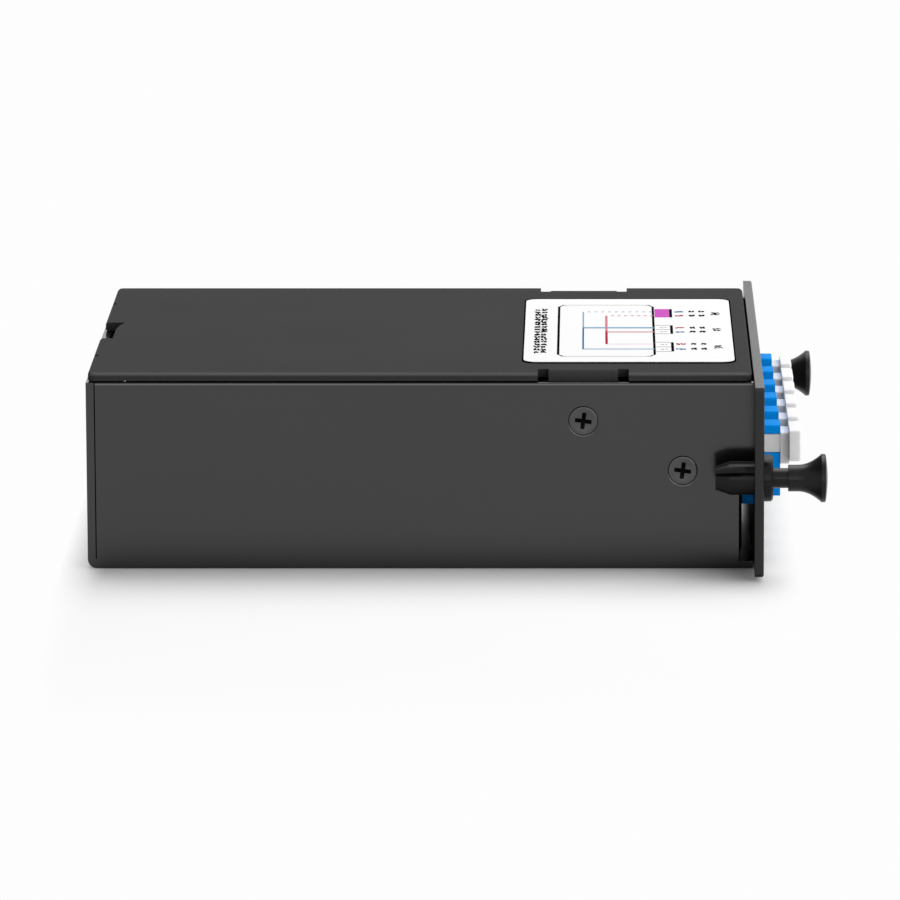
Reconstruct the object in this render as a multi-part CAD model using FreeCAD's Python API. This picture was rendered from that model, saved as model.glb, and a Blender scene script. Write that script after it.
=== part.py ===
import FreeCAD, Part
import math
import os
from FreeCAD import Rotation, Vector

# A fibre cassette: a folded steel tray with a screwed lid, a face plate that
# carries upright duplex adapters with dust caps, and two push-in plungers that
# hold the cassette in its shelf.  Inside are the couplers and their fibre.
#
# All sizes are in millimetres.  +X runs from the rear wall to the ports, +Z is
# up, and the origin is under the middle of the whole cassette.

# ---- sheet metal ----------------------------------------------------------
tray_sheet = 1.4
lid_sheet = 1.4
plate_sheet = 1.6
retainer_sheet = 1.2

# ---- tray -----------------------------------------------------------------
body_length = 117.4         # rear face to the face plate's back
body_width = 87.0
wall_height = 33.4          # top of the walls above the underside of the floor
rear_bend_radius = 1.8      # outer radius, floor to rear wall
side_bend_radius = 0.5      # outer radius, floor to side walls
corner_seam = 0.2           # slit between each side wall's end and the rear wall
relief_length = 2.6         # cut-out in each side wall beside the face plate
relief_top = 17.5

# ---- lid ------------------------------------------------------------------
lid_seam = 0.3              # lid's underside above the walls
lid_side_inset = 0.15
lid_rear_inset = 0.35
lid_front_gap = 0.4
lid_corner = 1.2
lid_edge_ease = 0.35
tab_width = 12.2
tab_from_plate = 30.0       # centre of each lid tab behind the face plate
tab_drop = 13.8             # lid's top to the tab's lower edge
tab_bend_radius = 2.0       # outer
tab_relief_width = 1.9
tab_relief_depth = 4.0
tab_relief_round = 0.4
tab_foot_round = 1.5
notch_width = 16.0          # finger notch in the lid's rear edge
notch_centre = -1.2
notch_depth = 2.3
notch_deep_end = 3.6
notch_curve = 7.0           # how far the deep end takes to ease into the notch
notch_sag = 0.26            # how far that easing bows from a straight line
nick_offset = 26.2
nick_width = 1.2
nick_depth = 0.8

# ---- face plate -----------------------------------------------------------
plate_wing = 11.0           # face plate beyond each side of the tray
plate_height = 33.85
plate_lift = 0.75           # lower edge above the underside of the floor
plate_corner = 0.6
plate_edge_ease = 0.25
ear_height = 8.0
ear_length = 18.0
ear_foot_round = 1.5
slip_gap = 0.1              # between a folded or welded ear and the side wall

# ---- countersunk screws and clinch nuts -----------------------------------
screw_radius = 1.5
screw_length = 6.0
head_radius = 2.6
head_sink = 0.05            # head's face below the wall's outer face
countersink_radius = 2.85
clearance_radius = 1.6
recess_span = 3.1
recess_blade = 0.75
recess_depth = 1.15
recess_foot = 1.1           # width of the cross at its bottom
recess_turn = 8.0
screw_tip_chamfer = 0.45
screw_from_plate = 12.5     # the screw through each ear
lid_screw_height = 26.55
nut_radius = 3.0
nut_thickness = 1.8
nut_shank_radius = 2.1
nut_gap = 0.05

# ---- adapters -------------------------------------------------------------
adapter_count = 6
adapter_pitch = 12.93
port_line = 17.65           # middle of the adapters above the underside
port_spacing = 6.25
mouth_width = 5.6
mouth_offset = 0.8          # mouth's middle from the adapter's middle
mouth_reach = 3.3           # in front of the face plate
adapter_width = 9.35
adapter_height = 12.8
adapter_depth = 21.0        # behind the face plate, without its rear mouth
rear_mouth_reach = 4.0
flange_width = 11.2
flange_height = 14.4
flange_thickness = 2.0
adapter_round = 0.35
port_size = 4.6
port_depth = 12.4
latch_slot = 3.45
latch_room = 2.0            # beside the port, for a plug's latch
latch_room_start = 4.5      # where the latch's room opens out, behind the mouth
latch_reach = 9.0
boss_radius = 1.5
boss_bore = 0.98
boss_length = 2.8           # beyond the web between front and rear ports
window_gap = 0.15
retainer_foot = 9.0
retainer_height = 26.5
retainer_bend = 0.6         # inner
retainer_margin = 1.2

# ---- dust caps ------------------------------------------------------------
cap_plug_gap = 0.1
cap_plug_length = 5.4
cap_bore = 1.3
cap_neck_length = 1.6
cap_neck_width = 6.0
cap_neck_height = 5.7
cap_neck_drop = 0.85        # neck's middle below the port's middle
cap_head_length = 2.0
cap_head_width = 8.9
cap_head_height = 5.6
cap_head_drop = 0.17
cap_round = 0.35
cap_edge_ease = 0.25

# ---- plungers -------------------------------------------------------------
plunger_from_end = 4.5      # middle of each plunger from the plate's end
plunger_line = 17.65
hub_radius = 3.3            # inside the face plate
barrel_radius = 2.95
barrel_length = 4.2         # straight part behind the face plate
barrel_taper = 2.65
barrel_tip_radius = 2.05
barrel_slot = 0.65
barrel_slot_turn = 22.5
hole_gap = 0.15
collar_radius = 4.1
collar_length = 1.6
collar_ease = 0.35
pin_radius = 1.75
pin_gap = 0.08
pin_tip_radius = 1.0
pin_tip_gap = 0.15
pin_shoulder = 2.2          # end of the full shaft behind the face plate
pin_cone = 1.4
knob_start = 4.3            # in front of the face plate, pulled out
knob_neck_radius = 2.35
knob_neck_length = 1.7
knob_radius = 4.25
knob_rim = 0.75
knob_dome = 0.35
knob_reach = 11.2
plunger_travel = 2.6
seam_width = 0.2
seam_depth = 0.12

# ---- label ----------------------------------------------------------------
label_length = 37.4
label_width = 63.6
label_centre = -1.2
label_from_plate = 3.2
label_corner = 2.5
label_thickness = 0.15

# ---- plugs, couplers and fibre inside -------------------------------------
plug_size = 4.45
plug_inserted = 9.0
plug_exposed = 5.0
plug_chamfer = 0.4
plug_latch_width = 3.1
plug_latch_sheet = 0.7
plug_latch_rise = 0.36      # of the latch where it passes the adapter's mouth
plug_latch_back = 1.0       # latch's end in front of the plug's back
boot_length = 9.0
boot_radius = 1.7
boot_tip_radius = 0.95
ferrule_radius = 0.625
ferrule_gap = 0.035
sleeve_radius = 0.9
sleeve_length = 6.8
sleeve_slit = 0.2
section_sides = 8           # flats round a fibre or a boot
bend_runs = 6               # straight runs that make up one bend of fibre
fibre_radius = 0.45
fibre_gap = 0.05            # between the end of a lead and the coil
coupler_radius = 1.5
coupler_length = 32.0
coupler_pitch = 3.4
coupler_count = 4
coupler_gap = 0.05
coupler_mouth = 2.6         # narrower than a coupler, so that it snaps in
coupler_from_rear = 34.0
post_thickness = 3.0
post_spacing = 20.0
post_depth = 6.0
holder_sheet = 1.5
coil_radius = 20.0          # to the middle of the coil
coil_half_run = 18.0        # middle of the coil to each turn's centre
coil_thickness = 3.0
coil_height = 14.0
coil_from_rear = 32.0       # coil's middle in front of the rear face
tail_spread = 0.55
lead_bend = 10.0
guide_gap = 0.3
guide_wall = 1.5
guide_half_angle = 50.0
guide_tab_half_angle = 14.0
guide_tab = 1.2
guide_foot = 5.0

# ---- places worked out from the sizes above -------------------------------
half_length = (body_length + plate_sheet + knob_reach) / 2
rear_x = -half_length
plate_back = rear_x + body_length
plate_front = plate_back + plate_sheet
mouth_x = plate_front + mouth_reach
half_width = body_width / 2
plate_width = body_width + 2 * plate_wing
plunger_offset = plate_width / 2 - plunger_from_end
wall_inside = half_width - tray_sheet
ear_outside = wall_inside - slip_gap
lid_bottom = wall_height + lid_seam
lid_top = lid_bottom + lid_sheet
lid_rear = rear_x + lid_rear_inset
lid_front = plate_back - lid_front_gap
tab_x = plate_back - tab_from_plate
ear_screw_x = plate_back - screw_from_plate
adapter_rear = plate_back - adapter_depth
rear_mouth_x = adapter_rear - rear_mouth_reach
adapter_centres = [adapter_pitch * (i - (adapter_count - 1) / 2) for i in range(adapter_count)]
mouth_centres = [y + mouth_offset for y in adapter_centres]
port_lines = [port_line - port_spacing / 2, port_line + port_spacing / 2]
sides = (-1, 1)


# ---- small builders --------------------------------------------------------
def block(x, y, z):
    """A box between two values along each axis."""
    size = [high - low for low, high in (x, y, z)]
    return Part.makeBox(*size, Vector(x[0], y[0], z[0]))


def around(middle, size):
    """The two ends of a span of this size about a middle."""
    return (middle - size / 2, middle + size / 2)


def rod(x_from, x_to, y, z, radius):
    return Part.makeCylinder(radius, x_to - x_from, Vector(x_from, y, z), Vector(1, 0, 0))


def cone(x_from, x_to, y, z, radius_from, radius_to):
    base = Vector(x_from, y, z)
    return Part.makeCone(radius_from, radius_to, x_to - x_from, base, Vector(1, 0, 0))


def edges_along(shape, axis, test=None):
    """Straight edges of a shape parallel to an axis, and passing a test of their middle."""
    found = []
    for edge in shape.Edges:
        if edge.Curve.TypeId != "Part::GeomLine":
            continue
        run = edge.Vertexes[-1].Point - edge.Vertexes[0].Point
        if run.Length > 0 and run.cross(axis).Length < 1e-6 * run.Length:
            if test is None or test(edge.CenterOfMass):
                found.append(edge)
    return found


def rounded(shape, radius, axis, test=None):
    return shape.makeFillet(radius, edges_along(shape, axis, test))


def edges_at_x(shape, x):
    """Every edge of a shape that lies in one plane across X."""
    reach = 1e-4
    return [e for e in shape.Edges if abs(e.BoundBox.XMin - x) < reach and abs(e.BoundBox.XMax - x) < reach]


def turned(outline, y, z):
    """A solid turned about a line along X; the outline holds edges in X and radius."""
    face = Part.Face(Part.Wire(outline))
    solid = face.revolve(Vector(0, 0, 0), Vector(1, 0, 0), 360)
    return solid.translated(Vector(0, y, z))


def line(start, end):
    return Part.makeLine(Vector(*start, 0), Vector(*end, 0))


def lines(points):
    return [line(a, b) for a, b in zip(points, points[1:])]


def flat_sided(centre, heading, radius):
    """A plain, nearly round outline across a heading, for fibre and its boots."""
    upright = Vector(0, 0, radius)
    corners = []
    for i in range(section_sides + 1):
        spoke = Rotation(heading, 360 * (i + 0.5) / section_sides).multVec(upright)
        corners.append(centre + spoke)
    return Part.makePolygon(corners)


def fuse_all(shapes):
    return shapes[0].multiFuse(shapes[1:]).removeSplitter()


def cut_all(shape, tools):
    return shape.cut(Part.makeCompound(tools)).removeSplitter()


def folded_strip(reach, drop, sheet, inner_radius, width):
    """A strip that runs along +X at its top face, then bends down; centred on Y."""
    outer = inner_radius + sheet
    centre = (reach - outer, -outer)
    diagonal = math.sqrt(0.5)

    def bend(radius):
        start = Vector(centre[0], 0, centre[1] + radius)
        middle = Vector(centre[0] + radius * diagonal, 0, centre[1] + radius * diagonal)
        end = Vector(centre[0] + radius, 0, centre[1])
        return Part.Arc(start, middle, end).toShape()

    def run(start, end):
        return Part.makeLine(Vector(start[0], 0, start[1]), Vector(end[0], 0, end[1]))

    outline = [
        run((0, 0), (centre[0], 0)),
        bend(outer),
        run((reach, -outer), (reach, -drop)),
        run((reach, -drop), (reach - sheet, -drop)),
        run((reach - sheet, -drop), (reach - sheet, -outer)),
        bend(inner_radius),
        run((centre[0], -sheet), (0, -sheet)),
        run((0, -sheet), (0, 0)),
    ]
    wire = Part.Wire(Part.__sortEdges__(outline))
    solid = Part.Face(wire).extrude(Vector(0, width, 0))
    return solid.translated(Vector(0, -width / 2, 0))


# ---- tray ------------------------------------------------------------------
def screw_holes(radius, depth_from, depth_to):
    """Round holes across the side walls, ears and tabs, between two depths from outside."""
    holes = []
    for x, z in ((tab_x, lid_screw_height), (ear_screw_x, plunger_line)):
        for side in sides:
            start = Vector(x, side * (half_width - depth_from), z)
            way = Vector(0, -side, 0)
            holes.append(Part.makeCylinder(radius, depth_to - depth_from, start, way))
    return holes


def countersinks():
    cones = []
    depth = countersink_radius - clearance_radius
    for x, z in ((tab_x, lid_screw_height), (ear_screw_x, plunger_line)):
        for side in sides:
            start = Vector(x, side * half_width, z)
            way = Vector(0, -side, 0)
            cones.append(Part.makeCone(countersink_radius, clearance_radius, depth, start, way))
    return cones


def make_tray():
    long_edge = Vector(1, 0, 0)
    cross_edge = Vector(0, 1, 0)
    outside = ((rear_x, plate_back), (-half_width, half_width), (0, wall_height))
    folded_rear = rounded(block(*outside), rear_bend_radius, cross_edge, lambda p: p.z < 1e-6 and p.x < 0)
    folded_sides = rounded(block(*outside), side_bend_radius, long_edge, lambda p: p.z < 1e-6)
    shell = folded_rear.common(folded_sides)
    room = block(
        (rear_x + tray_sheet, plate_back + tray_sheet),
        (-wall_inside, wall_inside),
        (tray_sheet, wall_height + tray_sheet),
    )
    inner_bend = rear_bend_radius - tray_sheet
    room = rounded(room, inner_bend, cross_edge, lambda p: p.z < wall_height / 2 and p.x < 0)
    shell = shell.cut(room)
    tools = screw_holes(clearance_radius, 0, tray_sheet) + countersinks()
    for side in sides:
        across = sorted((side * wall_inside, side * (half_width + tray_sheet)))
        seam_start = rear_x + tray_sheet
        tools.append(block((seam_start, seam_start + corner_seam), across, (rear_bend_radius, wall_height)))
        tools.append(block((plate_back - relief_length, plate_back), across, (tray_sheet, relief_top)))
    return cut_all(shell, tools)


# ---- lid -------------------------------------------------------------------
def finger_notch():
    """The notch in the lid's rear edge: deep at its far end, easing to a straight run."""
    far = notch_centre + notch_width / 2
    near = notch_centre - notch_width / 2
    ease = far - notch_curve
    outside = lid_rear - lid_sheet
    deep = Vector(lid_rear + notch_deep_end, far, 0)
    eased = Vector(lid_rear + notch_depth, ease, 0)
    middle = Vector((deep.x + eased.x) / 2 - notch_sag, (deep.y + eased.y) / 2, 0)
    corner = Vector(lid_rear + notch_depth, near, 0)
    outline = [
        Part.makeLine(Vector(outside, far, 0), deep),
        Part.Arc(deep, middle, eased).toShape(),
        Part.makeLine(eased, corner),
        Part.makeLine(corner, Vector(outside, near, 0)),
        Part.makeLine(Vector(outside, near, 0), Vector(outside, far, 0)),
    ]
    face = Part.Face(Part.Wire(outline))
    return face.extrude(Vector(0, 0, lid_sheet * 3)).translated(Vector(0, 0, lid_bottom - lid_sheet))


def make_lid():
    lid_half = half_width - lid_side_inset
    bend_start = ear_outside - tab_bend_radius
    upright = Vector(0, 0, 1)
    tall = (lid_bottom - lid_sheet, lid_top + lid_sheet)
    sheet = block((lid_rear, lid_front), (-lid_half, lid_half), (lid_bottom, lid_top))
    sheet = rounded(sheet, lid_corner, upright)
    top_rim = [e for e in sheet.Edges if abs(e.BoundBox.ZMin - lid_top) < 1e-4]
    sheet = sheet.makeChamfer(lid_edge_ease, top_rim)
    tools = [finger_notch()]
    for side in sides:
        edge_out = side * (lid_half + lid_sheet)
        zone = sorted((side * bend_start, edge_out))
        tools.append(block(around(tab_x, tab_width), zone, tall))
        relief_start = side * (lid_half - tab_relief_depth)
        for end in sides:
            middle = tab_x + end * (tab_width + tab_relief_width) / 2
            slot = block(around(middle, tab_relief_width), sorted((relief_start, edge_out)), tall)
            tools.append(rounded(slot, tab_relief_round, upright, lambda p: abs(p.y) < lid_half))
        nick = around(side * nick_offset, nick_width)
        tools.append(block((lid_rear - lid_sheet, lid_rear + nick_depth), nick, tall))
    sheet = sheet.cut(Part.makeCompound(tools))
    tabs = []
    inner_bend = tab_bend_radius - lid_sheet
    for side in sides:
        # The strip's level run is as long as the sheet is thick, and lies inside the lid.
        strip = folded_strip(tab_bend_radius + lid_sheet, tab_drop, lid_sheet, inner_bend, tab_width)
        strip = rounded(strip, tab_foot_round, Vector(1, 0, 0), lambda p: p.z < -tab_drop / 2)
        strip = strip.translated(Vector(-lid_sheet, 0, 0))
        strip.rotate(Vector(0, 0, 0), upright, side * 90)
        tabs.append(strip.translated(Vector(tab_x, side * bend_start, lid_top)))
    lid = fuse_all([sheet] + tabs)
    depth = half_width - ear_outside
    hole = nut_shank_radius + nut_gap
    return cut_all(lid, screw_holes(hole, depth - slip_gap, depth + lid_sheet + slip_gap)[:2])


# ---- face plate ------------------------------------------------------------
def make_face_plate():
    along = Vector(1, 0, 0)
    bottom = plate_lift
    plate = block((plate_back, plate_front), around(0, plate_width), (bottom, bottom + plate_height))
    plate = rounded(plate, plate_corner, along)
    plate = plate.makeChamfer(plate_edge_ease, edges_at_x(plate, plate_front))
    tools = []
    for y in mouth_centres:
        window_y = around(y, mouth_width + 2 * window_gap)
        window_z = around(port_line, adapter_height + 2 * window_gap)
        tools.append(block((plate_back, plate_front), window_y, window_z))
    for side in sides:
        hole = hub_radius + hole_gap
        tools.append(rod(plate_back, plate_front, side * plunger_offset, plunger_line, hole))
    plate = plate.cut(Part.makeCompound(tools))
    ears = []
    for side in sides:
        across = sorted((side * ear_outside, side * (ear_outside - plate_sheet)))
        ear_rear = plate_back - ear_length
        ear = block((ear_rear, plate_back), across, around(plunger_line, ear_height))
        ears.append(rounded(ear, ear_foot_round, Vector(0, 1, 0), lambda p: p.x < ear_rear + ear_foot_round))
    plate = fuse_all([plate] + ears)
    depth = half_width - ear_outside
    hole = nut_shank_radius + nut_gap
    return cut_all(plate, screw_holes(hole, depth - slip_gap, depth + plate_sheet + slip_gap)[2:])


# ---- screws and nuts -------------------------------------------------------
def make_screw():
    """A countersunk screw with a cross recess; its head faces -Y at y = 0."""
    inward = Vector(0, 1, 0)
    head_depth = head_radius - screw_radius
    head = Part.makeCone(head_radius, screw_radius, head_depth, Vector(0, 0, 0), inward)
    tip_start = screw_length - screw_tip_chamfer
    tip_radius = screw_radius - screw_tip_chamfer
    shank = Part.makeCylinder(screw_radius, tip_start - head_depth, Vector(0, head_depth, 0), inward)
    tip = Part.makeCone(screw_radius, tip_radius, screw_tip_chamfer, Vector(0, tip_start, 0), inward)
    blades = []
    for turn in (0, 90):
        points = [
            Vector(-recess_span / 2, 0, 0),
            Vector(recess_span / 2, 0, 0),
            Vector(recess_foot / 2, recess_depth, 0),
            Vector(-recess_foot / 2, recess_depth, 0),
            Vector(-recess_span / 2, 0, 0),
        ]
        blade = Part.Face(Part.makePolygon(points)).extrude(Vector(0, 0, recess_blade))
        blade = blade.translated(Vector(0, 0, -recess_blade / 2))
        blade.rotate(Vector(0, 0, 0), inward, turn + recess_turn)
        blades.append(blade)
    return fuse_all([head, shank, tip]).cut(blades[0].fuse(blades[1]))


def place_across(shape, x, side, depth, z):
    """Put a piece made facing -Y into one side wall, this far in from its outer face."""
    piece = shape.copy()
    if side > 0:
        piece.rotate(Vector(0, 0, 0), Vector(0, 0, 1), 180)
    return piece.translated(Vector(x, side * (half_width - depth), z))


def make_nut(shank):
    """A clinch nut: a shank in the sheet's hole and a round body behind the sheet."""
    inward = Vector(0, 1, 0)
    barrel = Part.makeCylinder(nut_shank_radius, shank, Vector(0, 0, 0), inward)
    body = Part.makeCylinder(nut_radius, nut_thickness, Vector(0, shank, 0), inward)
    bore = Part.makeCylinder(screw_radius + nut_gap, shank + nut_thickness, Vector(0, 0, 0), inward)
    return fuse_all([barrel, body]).cut(bore)


# ---- adapters --------------------------------------------------------------
def port_cutters(mouth, inner_end, y, z, direction):
    """The hollow for one plug and the slot for its latch, from a mouth inwards."""
    side_wall = (mouth_width - port_size) / 2
    port = block(sorted((mouth, inner_end)), around(y, port_size), around(z, port_size))
    slot_end = mouth - direction * latch_reach
    port_face = y - port_size / 2
    lead_in = block(sorted((mouth, slot_end)), (port_face - side_wall, y), around(z, latch_slot))
    body_face = mouth - direction * latch_room_start
    room = block(sorted((body_face, slot_end)), (port_face - latch_room, y), around(z, latch_slot))
    return [port, lead_in, room]


def make_adapter(centre):
    y = centre + mouth_offset
    along = Vector(1, 0, 0)
    tall = around(port_line, adapter_height)
    front = block((plate_back - flange_thickness, mouth_x), around(y, mouth_width), tall)
    front = rounded(front, adapter_round, along)
    middle = block((adapter_rear, plate_back - flange_thickness), around(centre, adapter_width), tall)
    rear = block((rear_mouth_x, adapter_rear), around(y, mouth_width), tall)
    flange_z = around(port_line, flange_height)
    flange = block((plate_back - flange_thickness, plate_back), around(centre, flange_width), flange_z)
    flange = flange.makeChamfer(2 * adapter_round, edges_along(flange, along))
    body = fuse_all([front, flange, middle, rear])
    web_front = mouth_x - port_depth
    web_rear = rear_mouth_x + port_depth
    tools = []
    for z in port_lines:
        tools += port_cutters(mouth_x, web_front, y, z, 1)
        tools += port_cutters(rear_mouth_x, web_rear, y, z, -1)
    body = body.cut(Part.makeCompound(tools))
    boss_rear = web_rear - boss_length
    boss_front = web_front + boss_length
    bosses = [rod(boss_rear, boss_front, y, z, boss_radius) for z in port_lines]
    bores = [rod(boss_rear, boss_front, y, z, boss_bore) for z in port_lines]
    return cut_all(fuse_all([body] + bosses), bores)


def make_sleeve(y, z):
    """A slit ceramic sleeve that lines up the ferrules of the front and rear plugs."""
    middle = (mouth_x + rear_mouth_x) / 2
    start, end = around(middle, sleeve_length)
    tube = rod(start, end, y, z, sleeve_radius).cut(rod(start, end, y, z, ferrule_radius + ferrule_gap))
    slit = block((start, end), around(y, sleeve_slit), (z, z + sleeve_radius * 2))
    return tube.cut(slit)


def make_retainer():
    """The bent bracket that clamps the adapters' flanges against the face plate."""
    back = plate_back - flange_thickness
    half = adapter_centres[-1] + adapter_width / 2 + window_gap + retainer_margin
    outer = retainer_bend + retainer_sheet
    strip = folded_strip(retainer_height - tray_sheet, retainer_foot, retainer_sheet, retainer_bend, half * 2)
    # The strip's level run becomes the upright wall and its drop becomes the foot.
    strip.rotate(Vector(0, 0, 0), Vector(0, 1, 0), 90)
    bracket = strip.translated(Vector(back, 0, retainer_height))
    tools = []
    for centre in adapter_centres:
        window_y = around(centre, adapter_width + 2 * window_gap)
        window_z = around(port_line, adapter_height + 2 * window_gap)
        tools.append(block((back - outer, back + outer), window_y, window_z))
    return cut_all(bracket, tools)


# ---- dust caps -------------------------------------------------------------
def make_dust_cap(y):
    z = port_lines[-1]
    along = Vector(1, 0, 0)
    plug_size_y = port_size - 2 * cap_plug_gap
    plug = block((mouth_x - cap_plug_length, mouth_x), around(y, plug_size_y), around(z, plug_size_y))
    rib_face = y - mouth_width / 2
    rib = block((plate_back, mouth_x), (rib_face, y), around(z, latch_slot - 2 * cap_plug_gap))
    neck_end = mouth_x + cap_neck_length
    neck_z = around(z - cap_neck_drop, cap_neck_height)
    neck = block((mouth_x, neck_end), around(y, cap_neck_width), neck_z)
    neck = rounded(neck, cap_round, along)
    head_end = neck_end + cap_head_length
    head_z = around(z - cap_head_drop, cap_head_height)
    head = block((neck_end, head_end), around(y, cap_head_width), head_z)
    head = rounded(head, cap_round, along)
    head = head.makeChamfer(cap_edge_ease, edges_at_x(head, head_end))
    cap = fuse_all([plug, rib, neck, head])
    return cap.cut(rod(mouth_x - cap_plug_length, mouth_x, y, z, cap_bore))


# ---- plungers --------------------------------------------------------------
def seam_groove(x_from, x_to, y, z, radius):
    """A shallow groove along both sides of a turned piece, where its mould parted."""
    depth = radius - seam_depth
    cutters = []
    for side in sides:
        across = sorted((y + side * depth, y + side * (radius + 1)))
        cutters.append(block((x_from, x_to), across, around(z, seam_width)))
    return cutters


def make_grommet(y):
    z = plunger_line
    barrel_end = plate_back - barrel_length
    tip = barrel_end - barrel_taper
    bore = pin_radius + pin_gap
    tip_bore = pin_tip_radius + pin_tip_gap
    bore_end = plate_back - pin_shoulder - plunger_travel - pin_gap
    cone_end = bore_end - pin_cone
    collar_front = plate_front + collar_length
    collar = rod(plate_front, collar_front, y, z, collar_radius)
    collar = collar.makeChamfer(collar_ease, edges_at_x(collar, collar_front))
    hub = rod(plate_back, plate_front, y, z, hub_radius)
    barrel = rod(barrel_end, plate_back, y, z, barrel_radius)
    taper = cone(tip, barrel_end, y, z, barrel_tip_radius, barrel_radius)
    body = fuse_all([collar, hub, barrel, taper])
    tools = [
        rod(bore_end, collar_front, y, z, bore),
        cone(cone_end, bore_end, y, z, tip_bore, bore),
        rod(tip, cone_end, y, z, tip_bore),
    ]
    for quarter in range(2):
        slot = block((tip, plate_back - slip_gap), around(y, collar_radius * 2), around(z, barrel_slot))
        slot.rotate(Vector(0, y, z), Vector(1, 0, 0), -barrel_slot_turn + 90 * quarter)
        tools.append(slot)
    tools += seam_groove(plate_front, collar_front, y, z, collar_radius)
    return cut_all(body, tools)


def make_plunger_pin(y):
    tip = plate_back - barrel_length - barrel_taper
    shoulder = plate_back - pin_shoulder
    cone_end = shoulder - pin_cone
    knob_back = plate_front + knob_start
    flare_start = knob_back + knob_neck_length
    end = plate_front + knob_reach
    rim_end = end - knob_dome
    rim_start = rim_end - knob_rim
    # The flare leaves the neck along the pin and opens to the rim like a trumpet.
    flare = Part.BezierCurve()
    flare.setPoles([
        Vector(flare_start, knob_neck_radius, 0),
        Vector((flare_start + rim_start) / 2, knob_neck_radius, 0),
        Vector(rim_start, knob_radius, 0),
    ])
    rim_radius = knob_radius - knob_dome / 2
    dome_radius = (rim_radius * rim_radius + knob_dome * knob_dome) / (2 * knob_dome)
    dome_half = rim_radius / 2
    dome_middle = end - dome_radius + math.sqrt(dome_radius * dome_radius - dome_half * dome_half)
    dome = Part.Arc(
        Vector(rim_end, rim_radius, 0),
        Vector(dome_middle, dome_half, 0),
        Vector(end, 0, 0),
    ).toShape()
    outline = lines([
        (tip, 0),
        (tip, pin_tip_radius),
        (cone_end, pin_tip_radius),
        (shoulder, pin_radius),
        (knob_back, pin_radius),
        (knob_back, knob_neck_radius),
        (flare_start, knob_neck_radius),
    ])
    outline.append(flare.toShape())
    rim_edge = rim_end - knob_dome / 2
    outline += lines([(rim_start, knob_radius), (rim_edge, knob_radius), (rim_end, rim_radius)])
    outline += [dome, line((end, 0), (tip, 0))]
    pin = turned(outline, y, plunger_line)
    return cut_all(pin, seam_groove(knob_back, flare_start, y, plunger_line, knob_neck_radius))


# ---- label -----------------------------------------------------------------
def make_label():
    front = plate_back - label_from_plate
    depth = (lid_top, lid_top + label_thickness)
    sheet = block((front - label_length, front), around(label_centre, label_width), depth)
    return rounded(sheet, label_corner, Vector(0, 0, 1))


# ---- plugs inside ----------------------------------------------------------
def make_inner_plug(y, z):
    nose = rear_mouth_x + plug_inserted
    back = rear_mouth_x - plug_exposed
    body = block((back, nose), around(y, plug_size), around(z, plug_size))
    body = body.makeChamfer(plug_chamfer, edges_along(body, Vector(1, 0, 0)))
    along = Vector(1, 0, 0)
    boot_tip = flat_sided(Vector(back - boot_length, y, z), along, boot_tip_radius)
    boot_root = flat_sided(Vector(back, y, z), along, boot_radius)
    boot = Part.makeLoft([boot_tip, boot_root], True, True)
    face = y - plug_size / 2
    reach = latch_room - 2 * slip_gap
    # The latch springs from the nose and rises towards the boot, then hooks back.
    points = [
        (nose - plug_chamfer * 2, face + plug_latch_sheet),
        (nose - plug_chamfer * 2, face),
        (rear_mouth_x, face - plug_latch_rise),
        (back + plug_latch_back, face - reach),
        (back + plug_latch_back, face - reach + plug_latch_sheet),
        (rear_mouth_x, face - plug_latch_rise + plug_latch_sheet),
        (nose - plug_chamfer * 2, face + plug_latch_sheet),
    ]
    outline = Part.makePolygon([Vector(px, py, 0) for px, py in points])
    latch = Part.Face(outline).extrude(Vector(0, 0, plug_latch_width))
    latch = latch.translated(Vector(0, 0, z - plug_latch_width / 2))
    return fuse_all([body, boot, latch])


def make_ferrule(y, z):
    """The ceramic ferrule of a rear plug, from its body to the middle of the sleeve."""
    middle = (mouth_x + rear_mouth_x) / 2
    boss_end = rear_mouth_x + port_depth - boss_length
    return rod(boss_end - slip_gap, middle, y, z, ferrule_radius)


# ---- couplers, coil and fibre ----------------------------------------------
coil_x = rear_x + coil_from_rear
coupler_x = rear_x + coupler_from_rear
coupler_lines = [port_line + coupler_pitch * (i - (coupler_count - 1) / 2) for i in range(coupler_count)]


def racetrack(radius, height, z):
    """An oval prism with round ends along Y, about the coil's middle."""
    ends = [Part.makeCylinder(radius, height, Vector(coil_x, s * coil_half_run, z)) for s in sides]
    straight = block(around(coil_x, 2 * radius), around(0, 2 * coil_half_run), (z, z + height))
    return fuse_all(ends + [straight])


def make_coil():
    bottom = port_line - coil_height / 2
    outer = racetrack(coil_radius + coil_thickness / 2, coil_height, bottom)
    inner = racetrack(coil_radius - coil_thickness / 2, coil_height, bottom)
    return outer.cut(inner)


def coil_distance(x, y):
    """How far a point in plan is from the coil's middle line; negative inside it."""
    beyond = max(abs(y) - coil_half_run, 0)
    return math.hypot(x - coil_x, beyond) - coil_radius


def sweep_to_coil(place, sweep_from, sweep_to):
    """The sweep at which a bending fibre has just come up against the coil."""
    touching = coil_thickness / 2 + fibre_radius + fibre_gap
    for _ in range(40):
        sweep = (sweep_from + sweep_to) / 2
        if abs(coil_distance(*place(sweep))) > touching:
            sweep_from = sweep
        else:
            sweep_to = sweep
    return sweep_from


def fibre_along(route):
    """One fibre through the points of its route, each with the heading it has there."""
    outlines = [flat_sided(point, heading, fibre_radius) for point, heading in route]
    return Part.makeLoft(outlines, True, True)


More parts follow.
